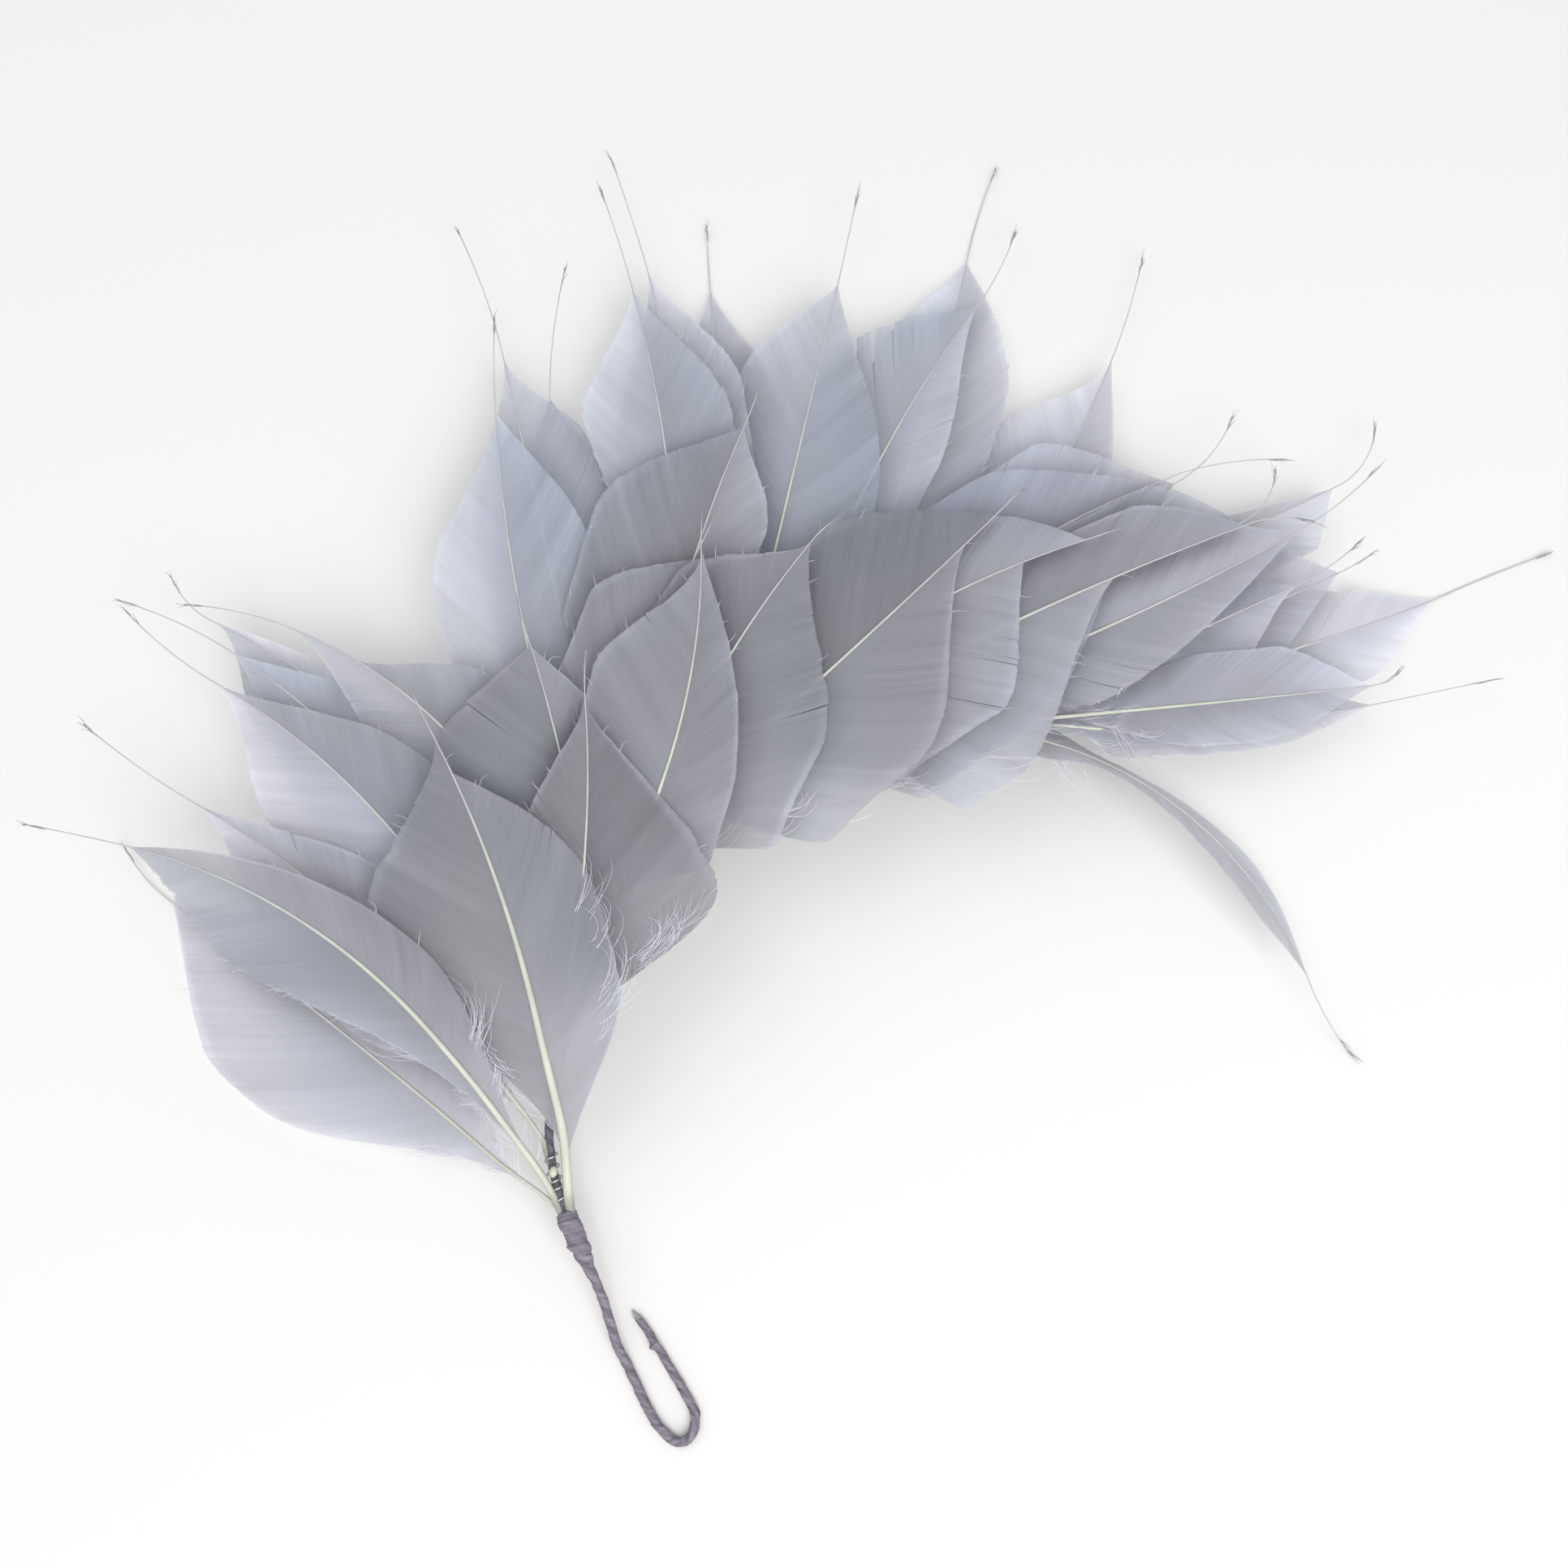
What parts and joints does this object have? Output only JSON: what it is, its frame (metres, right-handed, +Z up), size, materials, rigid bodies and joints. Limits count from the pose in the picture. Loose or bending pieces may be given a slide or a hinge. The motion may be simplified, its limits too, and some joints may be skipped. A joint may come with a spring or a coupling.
{
  "type": "millinery feather mount",
  "caption": "Curved spray of pointed feathers bound along a bent wire, with a taped foot ending in a small hook.",
  "frame": {"origin": "on the surface it lies on, under the middle of its box", "axes": "+X to the right along the longest side, +Y away from the hook towards the feather tips, +Z up"},
  "size_m": [0.4774, 0.4192, 0.0481],
  "materials": {
    "vane": "matte, slightly see-through",
    "wire": "matte, paper covered",
    "binding": "satin",
    "tape": "matte, wrinkled"
  },
  "bodies": {
    "root": {"left_feather_1": "vane", "left_feather_2": "vane", "left_feather_3": "vane", "left_feather_4": "vane", "left_feather_5": "vane", "left_feather_6": "vane", "left_feather_7": "vane", "front_feather_1": "vane", "front_feather_2": "vane", "front_feather_3": "vane", "front_feather_4": "vane", "front_feather_5": "vane", "front_feather_6": "vane", "right_feather_1": "vane", "right_feather_2": "vane", "right_feather_3": "vane", "right_feather_4": "vane", "right_feather_5": "vane", "right_feather_6": "vane", "right_feather_7": "vane", "right_feather_8": "vane", "right_feather_9": "vane", "right_feather_10": "vane", "back_feather_1": "vane", "back_feather_2": "vane", "back_feather_3": "vane", "back_feather_4": "vane", "back_feather_5": "vane", "back_feather_6": "vane", "back_feather_7": "vane", "back_feather_8": "vane", "back_feather_9": "vane", "back_feather_10": "vane", "middle_feather_1": "vane", "middle_feather_2": "vane", "middle_feather_3": "vane", "middle_feather_4": "vane", "middle_feather_5": "vane", "middle_feather_6": "vane", "spine_wire": "wire", "binding_wire": "binding", "tape_collar": "tape", "taped_stem": "tape"}
  },
  "joints": []
}
